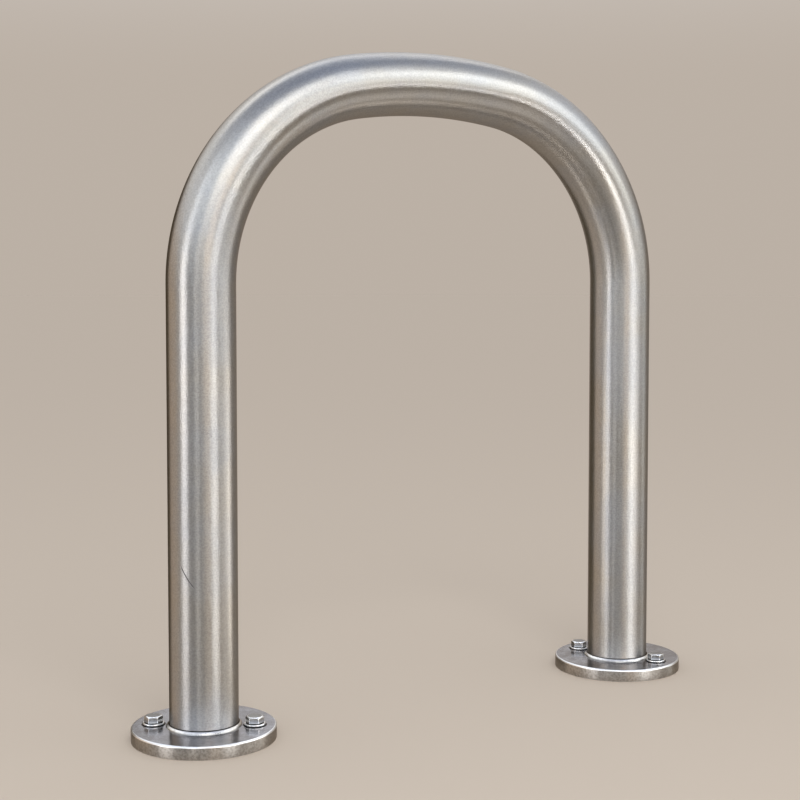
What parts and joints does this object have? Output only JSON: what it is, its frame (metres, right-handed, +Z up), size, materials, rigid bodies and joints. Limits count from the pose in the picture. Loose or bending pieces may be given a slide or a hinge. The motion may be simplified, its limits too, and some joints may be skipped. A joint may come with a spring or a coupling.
{
  "type": "hoop bike rack",
  "caption": "Surface-mounted hoop bike rack: a bent stainless steel tube welded to round base flanges that bolt down to the ground.",
  "frame": {"origin": "on the ground, midway between the two feet", "axes": "+X along the hoop from the left foot to the right foot, +Y across the hoop towards the rear bolts, +Z up"},
  "size_m": [0.7448, 0.1598, 0.7696],
  "materials": {
    "tube_steel": "satin stainless steel, fine grain along the tube, light handling marks",
    "plate_steel": "satin stainless steel plate, faint turned grain, bright rounded edge",
    "weld_steel": "cleaned stainless weld bead, slightly rippled",
    "fastener_steel": "smooth stainless steel with worn bright edges"
  },
  "bodies": {
    "root": {"hoop_tube": "tube_steel", "left_base_flange": "plate_steel", "right_base_flange": "plate_steel", "left_weld_bead": "weld_steel", "right_weld_bead": "weld_steel", "left_rear_anchor_bolt": "fastener_steel", "left_front_anchor_bolt": "fastener_steel", "right_rear_anchor_bolt": "fastener_steel", "right_front_anchor_bolt": "fastener_steel", "left_rear_washer": "fastener_steel", "left_front_washer": "fastener_steel", "right_rear_washer": "fastener_steel", "right_front_washer": "fastener_steel"}
  },
  "joints": []
}
